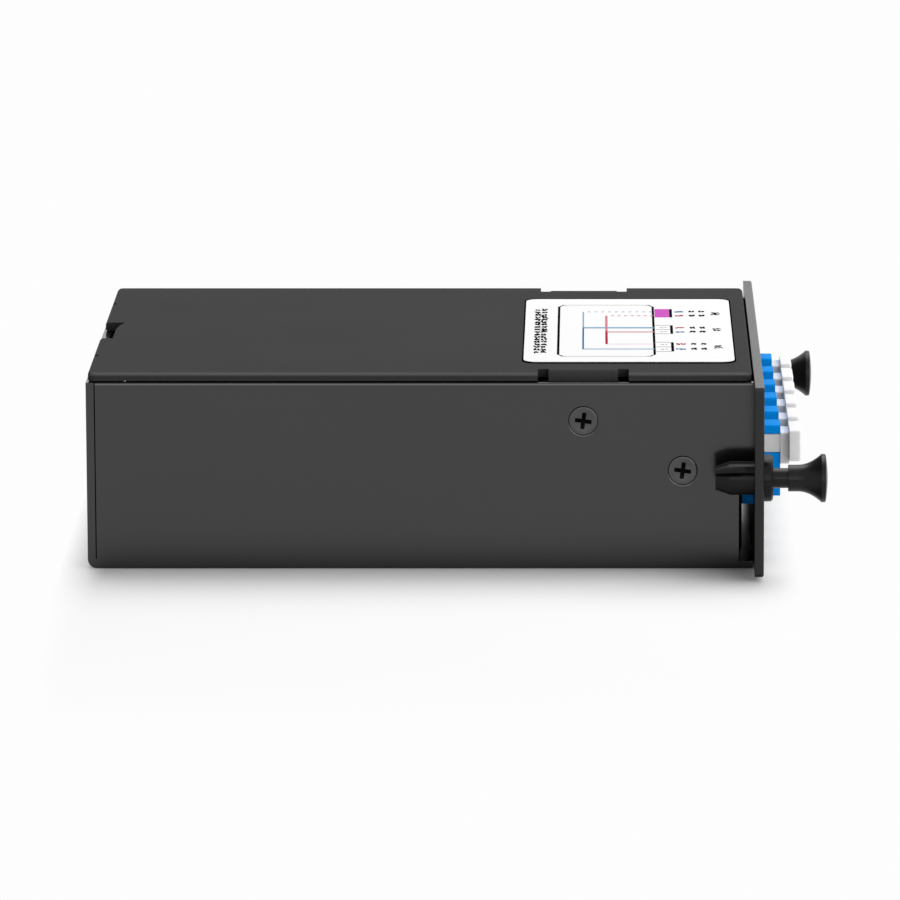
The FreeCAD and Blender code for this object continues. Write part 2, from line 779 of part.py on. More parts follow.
def make_plug_leads():
    """Fibre from each rear plug's boot, straight back and round to the coil."""
    leads = []
    start = rear_mouth_x - plug_exposed - boot_length
    bend_x = coil_x + coil_radius + lead_bend
    for y in mouth_centres:
        way = 1 if y < 0 else -1

        def place(sweep):
            return (bend_x - lead_bend * math.sin(sweep), y + way * lead_bend * (1 - math.cos(sweep)))

        sweep = sweep_to_coil(place, 0, math.pi / 2)
        for z in port_lines:
            route = [(Vector(start, y, z), Vector(-1, 0, 0))]
            for i in range(bend_runs + 1):
                turn = sweep * i / bend_runs
                heading = Vector(-math.cos(turn), way * math.sin(turn), 0)
                route.append((Vector(*place(turn), z), heading))
            leads.append(fibre_along(route))
    return Part.makeCompound(leads)


def make_coupler(z):
    start = Vector(coupler_x, -coupler_length / 2, z)
    return Part.makeCylinder(coupler_radius, coupler_length, start, Vector(0, 1, 0))


def make_coupler_tails():
    """Fibre from the couplers' ends, each turning back to the coil."""
    tails = []
    bend = (coupler_x - coil_x + coil_radius) / 2
    pivot_x = coupler_x - bend
    end_y = coupler_length / 2

    def place(sweep):
        return (pivot_x + bend * math.cos(sweep), end_y + bend * math.sin(sweep))

    sweep = sweep_to_coil(place, math.pi / 2, math.pi)
    for z in coupler_lines:
        for side, levels in ((-1, (0,)), (1, (-tail_spread, tail_spread))):
            for level in levels:
                route = []
                for i in range(bend_runs + 1):
                    turn = sweep * i / bend_runs
                    x, y = place(turn)
                    heading = Vector(-math.sin(turn), side * math.cos(turn), 0)
                    route.append((Vector(x, side * y, z + level), heading))
                tails.append(fibre_along(route))
    return Part.makeCompound(tails)


def make_coupler_holder():
    """A foot on the floor and two slotted posts that hold the stacked couplers."""
    top = coupler_lines[-1] + coupler_radius + holder_sheet
    floor = tray_sheet
    width = post_spacing + post_thickness
    front = coupler_x + post_depth
    pieces = [block((coupler_x - post_depth / 2, front), around(0, width), (floor, floor + holder_sheet))]
    for side in sides:
        across = around(side * post_spacing / 2, post_thickness)
        pieces.append(block((coupler_x - post_depth / 2, front), across, (floor, top)))
    holder = fuse_all(pieces)
    slots = []
    for z in coupler_lines:
        seat = coupler_radius + coupler_gap
        channel = Part.makeCylinder(seat, width, Vector(coupler_x, -width / 2, z), Vector(0, 1, 0))
        mouth = block((coupler_x, front), around(0, width), around(z, coupler_mouth))
        slots += [channel, mouth]
    return cut_all(holder, slots)


def ring_sector(inner, outer, z_from, z_to, side, half_angle):
    """Part of an upright ring about one turn of the coil, facing away from the middle."""
    centre = Vector(coil_x, side * coil_half_run, z_from)
    face = Part.Face(Part.makePolygon([
        Vector(inner, 0, 0), Vector(outer, 0, 0), Vector(outer, 0, z_to - z_from),
        Vector(inner, 0, z_to - z_from), Vector(inner, 0, 0),
    ]))
    sector = face.revolve(Vector(0, 0, 0), Vector(0, 0, 1), 2 * half_angle)
    sector.rotate(Vector(0, 0, 0), Vector(0, 0, 1), side * 90 - half_angle)
    return sector.translated(centre)


def make_fibre_guide(side):
    """A curved wall inside one turn of the coil, with a foot, a shelf and a keeper."""
    outside = coil_radius - coil_thickness / 2 - guide_gap
    inside = outside - guide_wall
    coil_bottom = port_line - coil_height / 2
    coil_top = coil_bottom + coil_height
    reach = coil_radius + coil_thickness / 2
    keeper = coil_top + guide_gap
    shelf = coil_bottom - guide_gap - guide_tab
    pieces = [
        ring_sector(inside, outside, tray_sheet, keeper + guide_tab, side, guide_half_angle),
        ring_sector(inside - guide_foot, outside, tray_sheet, tray_sheet + guide_tab, side, guide_half_angle),
        ring_sector(inside, reach, keeper, keeper + guide_tab, side, guide_tab_half_angle),
        ring_sector(inside, reach, shelf, shelf + guide_tab, side, guide_tab_half_angle),
    ]
    return fuse_all(pieces)


# ---- the cassette ----------------------------------------------------------
nodes = {}
nodes["base_tray"] = make_tray()
nodes["lid"] = make_lid()
nodes["face_plate"] = make_face_plate()
nodes["adapter_retainer"] = make_retainer()
for number, centre in enumerate(adapter_centres, 1):
    nodes["adapter_%d" % number] = make_adapter(centre)
    nodes["dust_cap_%d" % number] = make_dust_cap(centre + mouth_offset)
nodes["split_sleeves"] = Part.makeCompound([make_sleeve(y, z) for y in mouth_centres for z in port_lines])
for name, side in (("near", -1), ("far", 1)):
    nodes["plunger_grommet_" + name] = make_grommet(side * plunger_offset)
    nodes["plunger_pin_" + name] = make_plunger_pin(side * plunger_offset)

screw = make_screw()
behind_wall = half_width - ear_outside
lid_nut = make_nut(lid_sheet)
plate_nut = make_nut(plate_sheet)
nodes["lid_screws"] = Part.makeCompound(
    [place_across(screw, tab_x, side, head_sink, lid_screw_height) for side in sides]
)
nodes["plate_screws"] = Part.makeCompound(
    [place_across(screw, ear_screw_x, side, head_sink, plunger_line) for side in sides]
)
nodes["lid_nuts"] = Part.makeCompound(
    [place_across(lid_nut, tab_x, side, behind_wall, lid_screw_height) for side in sides]
)
nodes["plate_nuts"] = Part.makeCompound(
    [place_across(plate_nut, ear_screw_x, side, behind_wall, plunger_line) for side in sides]
)
nodes["label"] = make_label()

for number, y in enumerate(mouth_centres, 1):
    for row, z in zip(("lower", "upper"), port_lines):
        nodes["inner_plug_%d_%s" % (number, row)] = make_inner_plug(y, z)
nodes["plug_ferrules"] = Part.makeCompound([make_ferrule(y, z) for y in mouth_centres for z in port_lines])
nodes["fibre_coil"] = make_coil()
nodes["plug_fibres"] = make_plug_leads()
nodes["coupler_fibres"] = make_coupler_tails()
nodes["coupler_holder"] = make_coupler_holder()
for number, z in enumerate(coupler_lines, 1):
    nodes["coupler_%d" % number] = make_coupler(z)
for name, side in (("near", -1), ("far", 1)):
    nodes["fibre_guide_" + name] = make_fibre_guide(side)

os.makedirs("parts", exist_ok=True)
for name, shape in nodes.items():
    shape.exportStep("parts/" + name + ".step")
print(len(nodes), "nodes written")
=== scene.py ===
"""Looks of a fibre cassette: powder-coated tray and lid, printed label, blue adapters,
white dust caps and moulded plungers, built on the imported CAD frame.

Sizes on the cassette are millimetres times MM, and the studio round it is in metres.
+X runs from the rear wall to the ports, +Y across the face plate and +Z up.
"""

import math

import bmesh
import bpy
from mathutils import Matrix, Vector


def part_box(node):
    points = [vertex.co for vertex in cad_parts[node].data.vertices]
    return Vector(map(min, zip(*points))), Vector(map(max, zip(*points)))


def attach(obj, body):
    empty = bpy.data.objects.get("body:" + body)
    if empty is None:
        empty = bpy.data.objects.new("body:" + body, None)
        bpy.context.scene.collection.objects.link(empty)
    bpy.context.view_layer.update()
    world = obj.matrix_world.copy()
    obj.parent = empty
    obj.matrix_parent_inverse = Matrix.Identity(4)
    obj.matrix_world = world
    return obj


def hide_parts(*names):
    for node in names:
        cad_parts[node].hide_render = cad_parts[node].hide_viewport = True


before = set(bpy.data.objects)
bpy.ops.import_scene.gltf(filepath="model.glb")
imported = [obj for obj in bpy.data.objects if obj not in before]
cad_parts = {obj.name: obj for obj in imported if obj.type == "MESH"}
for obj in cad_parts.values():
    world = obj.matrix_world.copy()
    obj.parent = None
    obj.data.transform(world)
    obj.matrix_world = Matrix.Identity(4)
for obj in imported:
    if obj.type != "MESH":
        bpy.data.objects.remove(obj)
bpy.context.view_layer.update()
MM = 0.001
ADAPTER_COUNT = 6
COUPLER_COUNT = 4
tray_low, tray_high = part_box("base_tray")
lid_low, lid_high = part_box("lid")
screw_low, screw_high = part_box("lid_screws")
label_low, label_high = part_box("label")


# ---- materials ----------------------------------------------------------------
class Value:
    """A socket in a finish; operators on it add Math nodes."""

    def __init__(self, finish, socket):
        self.finish = finish
        self.socket = socket

    def math(self, operation, *values):
        return self.finish.node("ShaderNodeMath", {"operation": operation}, values)

    def __add__(self, other):
        return self.math("ADD", self, other)

    def __sub__(self, other):
        return self.math("SUBTRACT", self, other)

    def __rsub__(self, other):
        return self.math("SUBTRACT", other, self)

    def __mul__(self, other):
        return self.math("MULTIPLY", self, other)

    def __truediv__(self, other):
        return self.math("DIVIDE", self, other)

    def __pow__(self, other):
        return self.math("POWER", self, other)

    def __abs__(self):
        return self.math("ABSOLUTE", self)

    def at_least(self, least):
        return self.math("MAXIMUM", self, least)

    __radd__ = __add__
    __rmul__ = __mul__


class Finish:
    """The nodes of one material, or of the world."""

    def __init__(self, owner):
        self.owner = owner
        owner.use_nodes = True
        self.tree = owner.node_tree
        self.tree.nodes.clear()

    def node(self, kind, settings=None, inputs=(), output=0):
        made = self.tree.nodes.new(kind)
        for key, setting in (settings or {}).items():
            setattr(made, key, setting)
        pairs = inputs.items() if isinstance(inputs, dict) else enumerate(inputs)
        for key, given in pairs:
            if isinstance(given, Value):
                self.tree.links.new(given.socket, made.inputs[key])
            else:
                made.inputs[key].default_value = given
        return Value(self, made.outputs[output]) if made.outputs else None

    def place(self):
        """Where a point lies on the piece, in metres."""
        return self.node("ShaderNodeTexCoord", output="Object")

    def along(self, axis):
        """Where a point lies along one axis, "X", "Y" or "Z"."""
        return self.node("ShaderNodeSeparateXYZ", inputs=(self.place(),), output=axis)

    def noise(self, size, detail=2.0, vector=None):
        """Cloudy values from 0 to 1 with features of this size."""
        where = vector or self.place()
        inputs = {"Vector": where, "Scale": 1 / size, "Detail": detail}
        return self.node("ShaderNodeTexNoise", inputs=inputs)

    def ranged(self, value, low, high, start=0.0, end=1.0):
        """A number from low to high, as the value goes from start to end."""
        inputs = {"Value": value, "From Min": start, "From Max": end, "To Min": low, "To Max": high}
        return self.node("ShaderNodeMapRange", inputs=inputs)

    def blend(self, share, first, second):
        """A colour between two others; sockets 6, 7 and 2 are the ones that a Mix node keeps for colour."""
        ends = [end if isinstance(end, Value) else (*end, 1) for end in (first, second)]
        inputs = {0: share, 6: ends[0], 7: ends[1]}
        return self.node("ShaderNodeMix", {"data_type": "RGBA"}, inputs, output=2)

    def bump(self, height, depth, strength):
        inputs = {"Strength": strength, "Distance": depth, "Height": height}
        return self.node("ShaderNodeBump", inputs=inputs)

    def background_rays(self):
        """1 for the rays that see the pale background: the camera's own, off gloss and through glass."""
        kinds = ("Is Camera Ray", "Is Glossy Ray", "Is Transmission Ray")
        direct, glossy, through = [self.node("ShaderNodeLightPath", output=kind) for kind in kinds]
        return direct + glossy + through

    def done(self, **surface):
        """The finished material; what varies and what is constant both go by their sockets' names."""
        inputs = {key.replace("_", " "): given for key, given in surface.items()}
        shader = self.node("ShaderNodeBsdfPrincipled", inputs=inputs)
        self.node("ShaderNodeOutputMaterial", inputs={"Surface": shader})
        return self.owner


def new_finish(name):
    return Finish(bpy.data.materials.new(name))


def darker(colour, share):
    return tuple(c * (1 - share) for c in colour)


def lighter(colour, share):
    return tuple(c * (1 + share) for c in colour)


def powder_coat(name, colour, roughness, specular, highlight_corner=None):
    """Satin powder baked on steel: fine grain, orange peel, and slow changes of gloss.

    Where an upper corner is given, the coat is made paler along both sides' upper edges: a painted highlight
    on the rim.
    """
    finish = new_finish(name)
    grain = finish.noise(0.16 * MM, 3.0)
    peel = finish.noise(0.7 * MM, 1.0)
    drift = finish.noise(26 * MM, 1.0)
    rubbed = finish.noise(5 * MM, 4.0)
    coat = finish.blend(grain * 0.7 + rubbed * 0.3, darker(colour, 0.14), lighter(colour, 0.14))
    # Painted highlight: the colour is made paler along the upper edges, standing in for the light caught by
    # the rim.
    if highlight_corner:
        side, top = highlight_corner.y, highlight_corner.z
        outer = finish.ranged(abs(finish.along("Y")), 0.0, 1.0, side - 0.8 * MM, side - 0.3 * MM)
        upper = finish.ranged(finish.along("Z"), 0.0, 1.0, top - 0.6 * MM, top - 0.3 * MM)
        coat = finish.blend(outer * upper, coat, lighter(colour, 1.5))
    return finish.done(
        Base_Color=coat,
        Roughness=finish.ranged(drift * 0.7 + rubbed * 0.3, roughness - 0.04, roughness + 0.04),
        Normal=finish.bump(grain * 0.35 + peel * 0.65, 0.014 * MM, 0.5),
        Specular_IOR_Level=specular,
    )


def moulded(name, colour, roughness, flow_size=0.9 * MM, translucent=0.0, specular=0.5):
    """Injection-moulded plastic: even colour, faint flow marks and a fine mould texture."""
    finish = new_finish(name)
    flow = finish.noise(flow_size)
    texture = finish.noise(0.09 * MM)
    skin = flow * 0.6 + texture * 0.4
    return finish.done(
        Base_Color=finish.blend(flow, darker(colour, 0.04), lighter(colour, 0.04)),
        Roughness=finish.ranged(skin, roughness - 0.05, roughness + 0.05),
        Normal=finish.bump(skin, 0.008 * MM, 0.4),
        Specular_IOR_Level=specular,
        Subsurface_Weight=translucent,
        Subsurface_Radius=(5 * MM, 5 * MM, 5 * MM),
    )


def plated_steel(name, colour, roughness):
    """Metal drawn along Y, with fine streaks six times as long as they are wide."""
    finish = new_finish(name)
    inputs = {"Vector": finish.place(), "Scale": (6, 1, 6)}
    stretched = finish.node("ShaderNodeMapping", inputs=inputs)
    streaks = finish.noise(0.8 * MM, vector=stretched)
    return finish.done(
        Base_Color=finish.blend(streaks, darker(colour, 0.1), lighter(colour, 0.05)),
        Roughness=finish.ranged(streaks, roughness - 0.08, roughness + 0.08),
        Normal=finish.bump(streaks, 0.004 * MM, 0.5),
        Metallic=1.0,
    )


def oxide_steel_with_painted_shade(name, colour, roughness, face):
    """Oxide on screws whose heads face out along Y at this distance, with painted shade making them nearly
    black below their faces.
    """
    finish = new_finish(name)
    depth = face - abs(finish.along("Y"))
    grain = finish.noise(0.2 * MM)
    # Painted shade: below the head's face, in the cross recess and round the rim, the colour goes nearly
    # black.
    painted_recess_shade = finish.ranged(depth, 0.0, 1.0, 0.03 * MM, 0.12 * MM)
    return finish.done(
        Base_Color=finish.blend(painted_recess_shade, colour, darker(colour, 0.96)),
        Roughness=finish.ranged(grain, roughness - 0.05, roughness + 0.05),
        Normal=finish.bump(grain, 0.004 * MM, 0.5),
        Metallic=1.0,
    )


def printed(name, colour, roughness, specular):
    """Ink or film: faint mottling like screen print."""
    finish = new_finish(name)
    mottle = finish.noise(0.35 * MM, 1.0)
    return finish.done(
        Base_Color=finish.blend(mottle, darker(colour, 0.03), lighter(colour, 0.02)),
        Roughness=finish.ranged(mottle, roughness - 0.04, roughness + 0.04),
        Normal=finish.bump(mottle, 0.002 * MM, 0.3),
        Specular_IOR_Level=specular,
    )


tray_coat = powder_coat("tray_powder_coat", (0.004, 0.004, 0.0041), 0.15, 0.69)
lid_coat = powder_coat("lid_powder_coat", (0.036, 0.036, 0.0362), 0.4, 0.003, lid_high)
plate_coat = powder_coat("plate_powder_coat", (0.004, 0.004, 0.0041), 0.3, 0.33)
# The retainer is coloured near-black as painted shade for the side cut-out that it lies in.
shade_black_steel = powder_coat("retainer_shade_black_steel", (0.003, 0.003, 0.003), 0.6, 0.02)
black_oxide = oxide_steel_with_painted_shade("screw_black_oxide", (0.07, 0.07, 0.071), 0.3, -screw_low.y)
zinc_steel = plated_steel("zinc_plated_steel", (0.62, 0.63, 0.65), 0.35)
drawn_steel = plated_steel("coupler_tube_steel", (0.6, 0.6, 0.62), 0.25)
blue_plastic = moulded("adapter_blue", (0.003, 0.29, 0.87), 0.4, specular=0.006)
white_plastic = moulded("cap_white", (0.83, 0.83, 0.83), 0.42, translucent=1.0, specular=0.02)
black_nylon = moulded("plunger_nylon_black", (0.009, 0.009, 0.0091), 0.3, specular=0.16)
grommet_nylon = moulded("grommet_nylon_black", (0.004, 0.004, 0.0041), 0.34, specular=0.16)
zirconia = moulded("ferrule_ceramic", (0.86, 0.85, 0.82), 0.18, flow_size=0.3 * MM)
plug_plastic = moulded("plug_moulding", (0.02, 0.12, 0.42), 0.4)
grey_plastic = moulded("holder_moulding", (0.35, 0.36, 0.38), 0.5)
fibre_plastic = moulded("fibre_jacket", (0.75, 0.58, 0.08), 0.45)
film_white = printed("label_film_white", (0.9, 0.9, 0.9), 0.4, 0.002)
# Near-black for the painted shadow that rims the label.
shadow_rim_black = printed("label_shadow_rim_black", (0.002, 0.002, 0.002), 0.9, 0.0)
ink_colours = {
    "black": (0.006, 0.006, 0.0065),
    "grey": (0.36, 0.36, 0.37),
    "blue": (0.01, 0.14, 0.36),
    "pale_blue": (0.22, 0.38, 0.56),
    "red": (0.42, 0.03, 0.06),
    "pale_red": (0.62, 0.24, 0.28),
    "magenta": (0.6, 0.11, 0.52),
}
inks = {name: printed("ink_" + name, colour, 0.9, 0.0) for name, colour in ink_colours.items()}


# ---- geometry trees -----------------------------------------------------------
class Growth:
    """A geometry tree with named sizes; growing it gives a plain mesh."""

    def __init__(self, name, **sizes):
        self.tree = bpy.data.node_groups.new(name, "GeometryNodeTree")
        face = self.tree.interface
        face.new_socket("Made", in_out="OUTPUT", socket_type="NodeSocketGeometry")
        face.new_socket("Source", in_out="INPUT", socket_type="NodeSocketGeometry")
        for size, kind in sizes.items():
            face.new_socket(size, in_out="INPUT", socket_type="NodeSocket" + kind)
        face.new_socket("Coat", in_out="INPUT", socket_type="NodeSocketMaterial")
        self.entry = self.tree.nodes.new("NodeGroupInput")

    def given(self, name):
        return self.entry.outputs[name]

    def node(self, kind, settings=None, inputs=None, output=0):
        made = self.tree.nodes.new(kind)
        for key, setting in (settings or {}).items():
            setattr(made, key, setting)
        for key, value in (inputs or {}).items():
            if isinstance(value, bpy.types.NodeSocket):
                self.tree.links.new(value, made.inputs[key])
            else:
                made.inputs[key].default_value = value
        return made.outputs[output]

    def points(self, count, step, start=(0, 0, 0)):
        """Points in line at equal steps."""
        inputs = {"Count": count, "Start Location": start, "Offset": step}
        return self.node("GeometryNodeMeshLine", {"mode": "OFFSET"}, inputs)

    def copies(self, points, source, **places):
        """A copy of the source on each point."""
        inputs = {"Points": points, "Instance": source, **places}
        return self.node("GeometryNodeInstanceOnPoints", inputs=inputs)

    def real(self, copies):
        return self.node("GeometryNodeRealizeInstances", inputs={"Geometry": copies})

    def drawn_vector(self, least, most, seed):
        """A vector drawn for each point between two others."""
        inputs = {0: least, 1: most, "Seed": seed}
        return self.node("FunctionNodeRandomValue", {"data_type": "FLOAT_VECTOR"}, inputs)

    def drawn_number(self, least, most, seed):
        """A number drawn for each point; sockets 2, 3 and 1 are the ones that the node keeps for numbers."""
        inputs = {2: least, 3: most, "Seed": seed}
        return self.node("FunctionNodeRandomValue", {"data_type": "FLOAT"}, inputs, output=1)

    def close(self, copies):
        """Every tree ends in real geometry with its material set."""
        inputs = {"Geometry": self.real(copies), "Material": self.given("Coat")}
        coated = self.node("GeometryNodeSetMaterial", inputs=inputs)
        out = self.tree.nodes.new("NodeGroupOutput")
        self.tree.links.new(coated, out.inputs["Made"])
        return self

    def grow(self, source, coat, **sizes):
        carrier = bpy.data.objects.new("carrier", source)
        bpy.context.scene.collection.objects.link(carrier)
        modifier = carrier.modifiers.new("growth", "NODES")
        modifier.node_group = self.tree
        sizes["Coat"] = coat
        for item in self.tree.interface.items_tree:
            if item.name in sizes:
                modifier[item.identifier] = sizes[item.name]
        graph = bpy.context.evaluated_depsgraph_get()
        made = bpy.data.meshes.new_from_object(carrier.evaluated_get(graph))
        carrier.modifiers.clear()
        bpy.data.objects.remove(carrier)
        return made


def row_of_pieces():
    """Copies of one piece at equal steps, each turned the same way."""
    tree = Growth("row_of_pieces", Count="Int", Start="Vector", Step="Vector", Turn="Rotation")
    points = tree.points(tree.given("Count"), tree.given("Step"), tree.given("Start"))
    return tree.close(tree.copies(points, tree.given("Source"), Rotation=tree.given("Turn")))


def scattered_strokes():
    """Short strokes in a grid, each with its own small turn, shift and length."""
    tree = Growth(
        "scattered_strokes",
        Start="Vector", Columns="Int", Rows="Int", Column_Step="Vector", Row_Step="Vector",
        Shift="Vector", Least="Vector", Most="Vector", Lean="Float", Seed="Int",
    )
    seed, lean, shift = tree.given("Seed"), tree.given("Lean"), tree.given("Shift")
    row_starts = tree.points(tree.given("Rows"), tree.given("Row_Step"))
    one_row = tree.points(tree.given("Columns"), tree.given("Column_Step"))
    grid = tree.real(tree.copies(row_starts, one_row))
    back = tree.node("ShaderNodeVectorMath", {"operation": "SCALE"}, {0: shift, "Scale": -1.0})
    wander = tree.drawn_vector(back, shift, seed)
    moved = tree.node("ShaderNodeVectorMath", {"operation": "ADD"}, {0: wander, 1: tree.given("Start")})
    points = tree.node("GeometryNodeSetPosition", inputs={"Geometry": grid, "Offset": moved})
    size_seed = tree.node("ShaderNodeMath", {"operation": "ADD"}, {0: seed, 1: 7.0})
    size = tree.drawn_vector(tree.given("Least"), tree.given("Most"), size_seed)
    other_lean = tree.node("ShaderNodeMath", {"operation": "MULTIPLY"}, {0: lean, 1: -1.0})
    turn = tree.node("ShaderNodeCombineXYZ", inputs={"Z": tree.drawn_number(other_lean, lean, seed)})
    return tree.close(tree.copies(points, tree.given("Source"), Rotation=turn, Scale=size))


row_tree = row_of_pieces()
stroke_tree = scattered_strokes()


# ---- meshes -------------------------------------------------------------------
def opened(mesh):
    """A mesh copied for editing."""
    work = bmesh.new()
    work.from_mesh(mesh)
    return work


def closed(work, name):
    """A plain mesh from an edited one."""
    mesh = bpy.data.meshes.new(name)
    work.to_mesh(mesh)
    work.free()
    return mesh


def modified(mesh, kind, **settings):
    """A mesh with one modifier worked into it."""
    carrier = bpy.data.objects.new("carrier", mesh)
    bpy.context.scene.collection.objects.link(carrier)
    modifier = carrier.modifiers.new(kind, kind)
    for key, setting in settings.items():
        setattr(modifier, key, setting)
    graph = bpy.context.evaluated_depsgraph_get()
    made = bpy.data.meshes.new_from_object(carrier.evaluated_get(graph))
    bpy.data.objects.remove(carrier)
    return made


def joined_mesh(node, keep=None):
    """A copy of a CAD node with its loose triangles joined into whole faces; a test can keep a part of it."""
    work = opened(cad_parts[node].data)
    bmesh.ops.remove_doubles(work, verts=work.verts, dist=0.0005 * MM)
    if keep:
        away = [v for v in work.verts if not keep(v.co)]
        bmesh.ops.delete(work, geom=away, context="VERTS")
    bmesh.ops.dissolve_limit(work, angle_limit=math.radians(0.4), verts=work.verts, edges=work.edges)
    return closed(work, node)


def eased(mesh, width, least_length, least_angle=50, chosen=None, segments=2):
    """Round over the sharp outer edges of a mesh that are at least this long and turn this many degrees.

    The width and the length are in metres, and a test on an edge's middle can choose among the edges.
    """
    work = opened(mesh)
    layer = work.edges.layers.float.new("bevel_weight_edge")
    for edge in work.edges:
        if len(edge.link_faces) != 2 or edge.calc_length() < least_length:
            continue
        if edge.calc_face_angle_signed() < math.radians(least_angle):
            continue
        middle = (edge.verts[0].co + edge.verts[1].co) / 2
        if chosen is None or chosen(middle):
            edge[layer] = 1.0
    return modified(
        closed(work, "eased"),
        "BEVEL",
        width=width,
        segments=segments,
        limit_method="WEIGHT",
        use_clamp_overlap=False,
    )


def new_piece(name, mesh, body, material, smooth_angle=35):
    """A piece of the cassette, with large flat faces that shade flat."""
    mesh.shade_smooth()
    mesh.set_sharp_from_angle(angle=math.radians(smooth_angle))
    mesh = modified(mesh, "WEIGHTED_NORMAL", mode="FACE_AREA", weight=100, keep_sharp=True)
    mesh.materials.clear()
    mesh.materials.append(material)
    piece = bpy.data.objects.new(name, mesh)
    bpy.context.scene.collection.objects.link(piece)
    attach(piece, body)
    return piece


def dressed(material, *nodes):
    """CAD nodes that stay, with a material of their own."""
    for node in nodes:
        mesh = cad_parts[node].data
        for i in range(len(mesh.materials)):
            mesh.materials[i] = material


# ---- sheet metal --------------------------------------------------------------
def along_wall_top(point):
    """The outer upper edge of each side wall, rounded more than the rest."""
    return point.z > tray_high.z - 0.1 * MM and abs(point.y) > tray_high.y - 0.1 * MM


def off_the_seam(point):
    """Away from the slit between a side wall and the rear wall, whose edges stay sharp."""
    return not tray_low.x + 0.5 * MM < point.x < tray_low.x + 2.5 * MM


def low_on_a_tab(point):
    """The lower edges of the lid's tabs, well below their bends."""
    return point.z < lid_low.z + 8 * MM


tray_mesh = eased(joined_mesh("base_tray"), 0.38 * MM, 20 * MM, chosen=along_wall_top, segments=3)
tray_mesh = eased(tray_mesh, 0.16 * MM, 4 * MM, chosen=off_the_seam)
tray = new_piece("tray_shell", tray_mesh, "cassette", tray_coat)
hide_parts("base_tray")

lid_mesh = eased(joined_mesh("lid"), 0.16 * MM, 5 * MM, 60, chosen=low_on_a_tab)
lid = new_piece("lid_shell", lid_mesh, "cassette", lid_coat)
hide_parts("lid")

plate_mesh = eased(joined_mesh("face_plate"), 0.14 * MM, 4 * MM, 60)
plate = new_piece("front_plate", plate_mesh, "cassette", plate_coat)
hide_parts("face_plate")


# ---- adapters and caps --------------------------------------------------------
adapter_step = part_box("adapter_2")[0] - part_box("adapter_1")[0]
one_adapter = eased(joined_mesh("adapter_1"), 0.1 * MM, 1.5 * MM)
adapter_mesh = row_tree.grow(one_adapter, blue_plastic, Count=ADAPTER_COUNT, Step=adapter_step)
adapters = new_piece("adapter_row", adapter_mesh, "cassette", blue_plastic)
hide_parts(*["adapter_%d" % i for i in range(1, ADAPTER_COUNT + 1)])

one_cap = eased(joined_mesh("dust_cap_1"), 0.18 * MM, 1.2 * MM)
for number in range(1, ADAPTER_COUNT + 1):
    cap_mesh = row_tree.grow(one_cap, white_plastic, Count=1, Start=adapter_step * (number - 1))
    cap = new_piece("cap_%d_body" % number, cap_mesh, "cap_%d" % number, white_plastic)
    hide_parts("dust_cap_%d" % number)


# ---- screws -------------------------------------------------------------------
def head_middle(node):
    """The middle of a screw's face on the near side."""
    low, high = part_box(node)
    return Vector(((low.x + high.x) / 2, low.y, (low.z + high.z) / 2))


def one_screw():
    """One screw, its head's middle at the origin and facing -Y, with its rim rounded most."""
    inside_rim = (screw_high.x - screw_low.x) / 2 - 0.2 * MM
    mesh = joined_mesh("lid_screws", keep=lambda p: p.y < 0)
    mesh.transform(Matrix.Translation(-head_middle("lid_screws")))
    mesh = eased(
        mesh, 0.22 * MM, 0.05 * MM,
        chosen=lambda p: p.y < 0.1 * MM and math.hypot(p.x, p.z) > inside_rim,
    )
    return eased(mesh, 0.05 * MM, 0.2 * MM, 40)


screw_mesh = one_screw()
lid_seat = head_middle("lid_screws")
plate_seat = head_middle("plate_screws")
for side, way, turn in (("near", 1, 0.0), ("far", -1, math.pi)):
    start = Vector((lid_seat.x, way * lid_seat.y, lid_seat.z))
    pair = row_tree.grow(
        screw_mesh, black_oxide, Count=2, Start=start, Step=plate_seat - lid_seat, Turn=(0, 0, turn)
    )
    screws = new_piece("screw_pair_" + side, pair, "cassette", black_oxide, 30)
    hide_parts("lid_screws", "plate_screws")


# ---- grommets, pins and what lies inside --------------------------------------
for side in ("near", "far"):
    collar = eased(joined_mesh("plunger_grommet_" + side), 0.07 * MM, 0.5 * MM)
    grommet = new_piece("grommet_" + side, collar, "cassette", grommet_nylon)
    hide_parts("plunger_grommet_" + side)
    dressed(black_nylon, "plunger_pin_" + side)
    dressed(grey_plastic, "fibre_guide_" + side)

for number in range(1, ADAPTER_COUNT + 1):
    dressed(plug_plastic, "inner_plug_%d_lower" % number, "inner_plug_%d_upper" % number)
for number in range(1, COUPLER_COUNT + 1):
    dressed(drawn_steel, "coupler_%d" % number)
dressed(grey_plastic, "coupler_holder")
dressed(shade_black_steel, "adapter_retainer")
dressed(zinc_steel, "lid_nuts", "plate_nuts")
dressed(zirconia, "split_sleeves", "plug_ferrules")
dressed(fibre_plastic, "fibre_coil", "plug_fibres", "coupler_fibres")


# ---- label --------------------------------------------------------------------
label_middle = (label_low.y + label_high.y) / 2
shadow_rim_top = label_low.z + 0.06 * MM
film_top = label_high.z - 0.03 * MM
film_corner = 2.3 * MM
shadow_rim_corner = 2.6 * MM
border = Vector((0.28 * MM, 1.1 * MM, 0))


def rounded_outline(low, high, radius, steps=6):
    """Corner points of a rounded rectangle in plan, going round once."""
    points = []
    corners = ((high.x, high.y, 0), (low.x, high.y, 90), (low.x, low.y, 180), (high.x, low.y, 270))
    for x, y, start in corners:
        middle_x = x - math.copysign(radius, x - (low.x + high.x) / 2)
        middle_y = y - math.copysign(radius, y - (low.y + high.y) / 2)
        for i in range(steps + 1):
            turn = math.radians(start + 90 * i / steps)
            points.append((middle_x + radius * math.cos(turn), middle_y + radius * math.sin(turn)))
    return points


